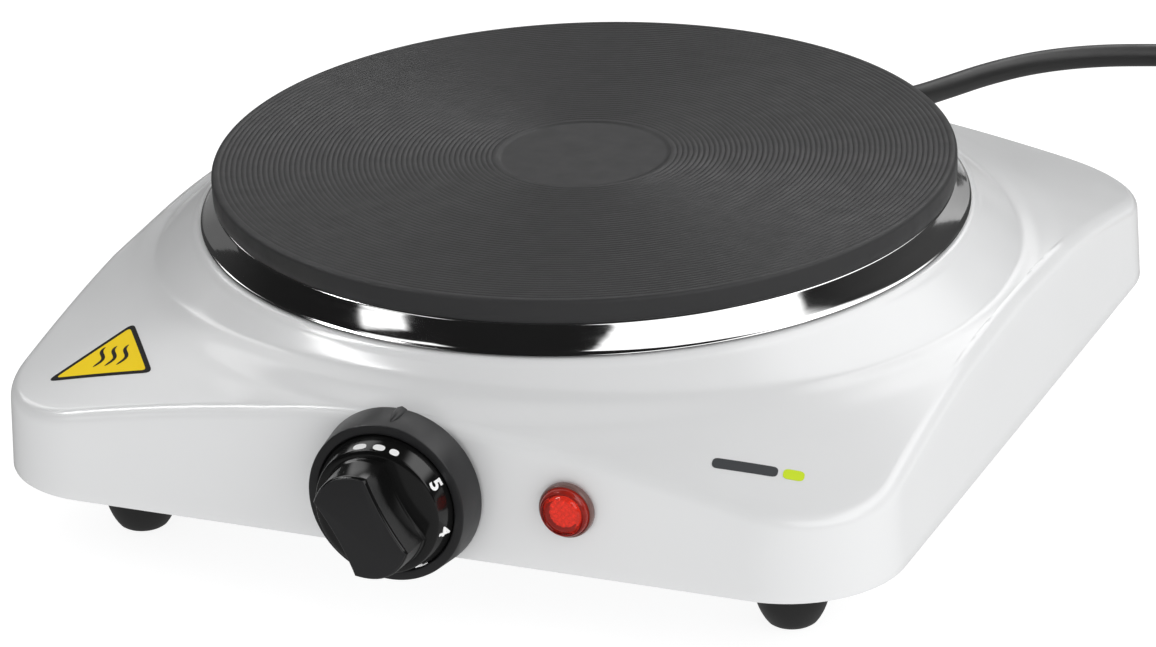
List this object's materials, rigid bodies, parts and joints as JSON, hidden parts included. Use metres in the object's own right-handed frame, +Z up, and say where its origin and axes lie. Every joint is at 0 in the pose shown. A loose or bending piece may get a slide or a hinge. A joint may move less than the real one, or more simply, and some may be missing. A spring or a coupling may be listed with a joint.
{
  "type": "hot plate burner",
  "caption": "Portable electric single burner: square sheet-steel housing, round cast-iron plate with trim ring, turning thermostat knob, pilot lamp, rubber feet and mains lead.",
  "frame": {"origin": "on the surface that the feet stand on, under the middle of the object's box without its mains lead; the plate's axis is at y = 0.012", "axes": "+Z up along the plate's axis, -Y towards the knob, +Y towards the mains lead, +X to the right seen from the knob's side"},
  "size_m": [0.286, 0.451, 0.0762],
  "materials": {
    "satin_paint": "satin silver-white paint",
    "zinc_sheet": "zinc-plated sheet",
    "screw_steel": "plated steel",
    "foot_rubber": "matt black rubber",
    "cast_plate": "turned and blackened cast iron",
    "cement": "matt insulating cement",
    "bright_ring": "bright stainless",
    "ceramic_white": "steatite",
    "contact_brass": "bare brass",
    "knob_black": "glossy black",
    "print_white": "white print",
    "plastic_white": "heat-resistant moulding",
    "lens_red": "clear red lens",
    "bulb_glass": "neon lamp glass",
    "lead_black": "satin black sheath",
    "wire_sleeve": "glass-fibre sleeve",
    "earth_sleeve": "green and yellow sleeve",
    "label_yellow": "printed film",
    "print_dark": "dark print"
  },
  "bodies": {
    "burner": {"housing": "satin_paint", "base_plate": "zinc_sheet", "mounting_tabs": "zinc_sheet", "base_screws": "screw_steel", "foot_front_left": "foot_rubber", "foot_front_right": "foot_rubber", "foot_rear_left": "foot_rubber", "foot_rear_right": "foot_rubber", "foot_screws": "screw_steel", "foot_nuts": "screw_steel", "hotplate": "cast_plate", "heating_coil": "screw_steel", "element_cement": "cement", "element_cover": "zinc_sheet", "trim_ring": "bright_ring", "mounting_bridge": "zinc_sheet", "centre_stud": "screw_steel", "centre_washer": "screw_steel", "centre_nut": "screw_steel", "element_terminals": "ceramic_white", "element_tabs": "contact_brass", "thermostat_bracket": "zinc_sheet", "thermostat_base": "ceramic_white", "thermostat_screws": "screw_steel", "contact_leaf": "contact_brass", "contacts": "contact_brass", "thermostat_tabs": "contact_brass", "lamp_lens": "lens_red", "lamp_body": "plastic_white", "lamp_nut": "screw_steel", "lamp_bulb": "bulb_glass", "strain_relief": "lead_black", "cord_sheath_end": "lead_black", "cord_clamp": "plastic_white", "clamp_screw": "screw_steel", "terminal_block": "ceramic_white", "terminal_screws": "contact_brass", "earth_screw": "screw_steel", "cord_cores": "wire_sleeve", "neutral_lead": "wire_sleeve", "switched_lead": "wire_sleeve", "live_lead": "wire_sleeve", "lamp_leads": "wire_sleeve", "earth_lead": "earth_sleeve", "caution_label": "label_yellow", "badge": "print_dark", "power_cord": "lead_black", "power_cord_coil": "lead_black", "power_cord_tail": "lead_black", "plug_body": "lead_black", "plug_pins": "contact_brass"},
    "control": {"knob": "knob_black", "knob_dial": "print_white", "knob_spring": "screw_steel", "thermostat_spindle": "screw_steel", "thermostat_cam": "plastic_white"}
  },
  "joints": [
    {"name": "knob_turn", "type": "hinge", "parent": "burner", "child": "control", "pos_m": [0, -0.1, 0.036], "axis": [0, 1, 0], "range_deg": [0, 270]}
  ]
}
